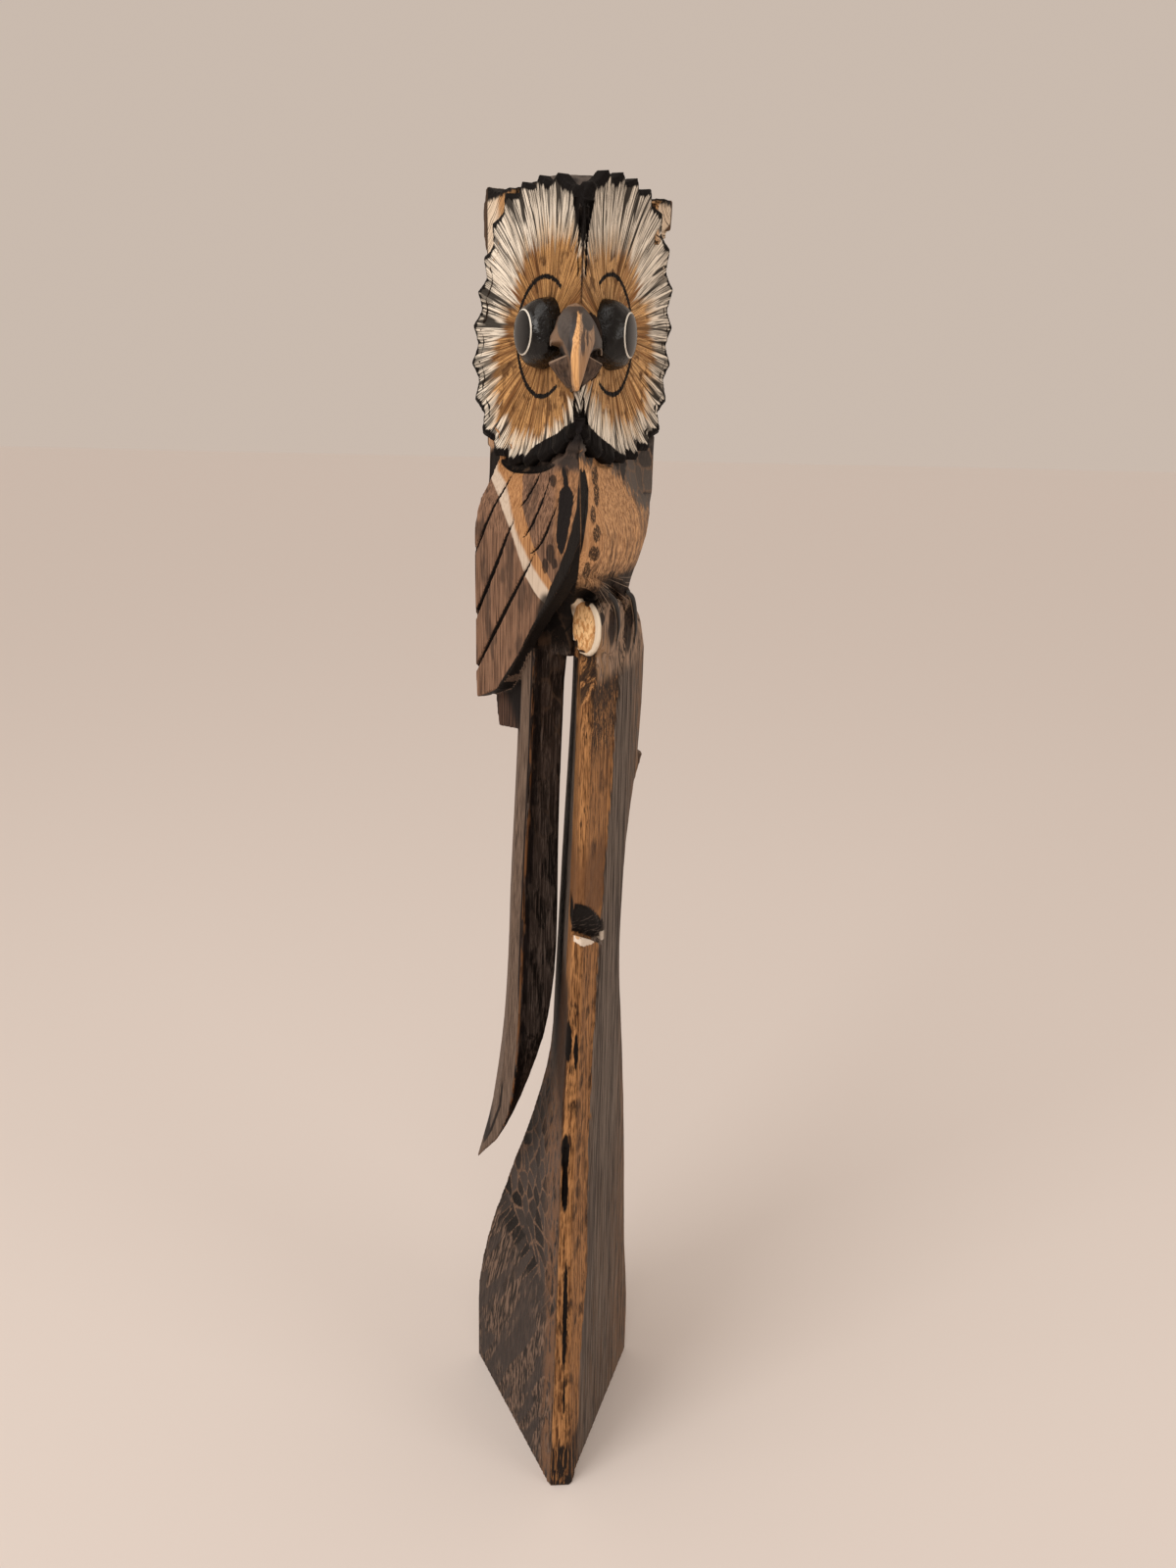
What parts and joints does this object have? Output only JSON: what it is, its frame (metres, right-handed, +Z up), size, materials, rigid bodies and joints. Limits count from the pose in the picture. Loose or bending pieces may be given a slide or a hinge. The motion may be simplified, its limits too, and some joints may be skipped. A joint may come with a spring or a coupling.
{
  "type": "carved owl totem pole",
  "caption": "Tall carving cut from a wedge of log: an owl with scalloped face discs on a branch, its long tail beside a trunk with a flared, pointed foot.",
  "frame": {"origin": "middle of the box's underside, on the floor", "axes": "+Z up along the trunk, -Y towards the viewer and the sharp edge of the wedge, +X to the viewer's right"},
  "size_m": [0.1458, 0.183, 1.008],
  "materials": {
    "owl_totem": "carved, scorched and painted, satin"
  },
  "bodies": {
    "root": {"owl_totem": "owl_totem"}
  },
  "joints": []
}
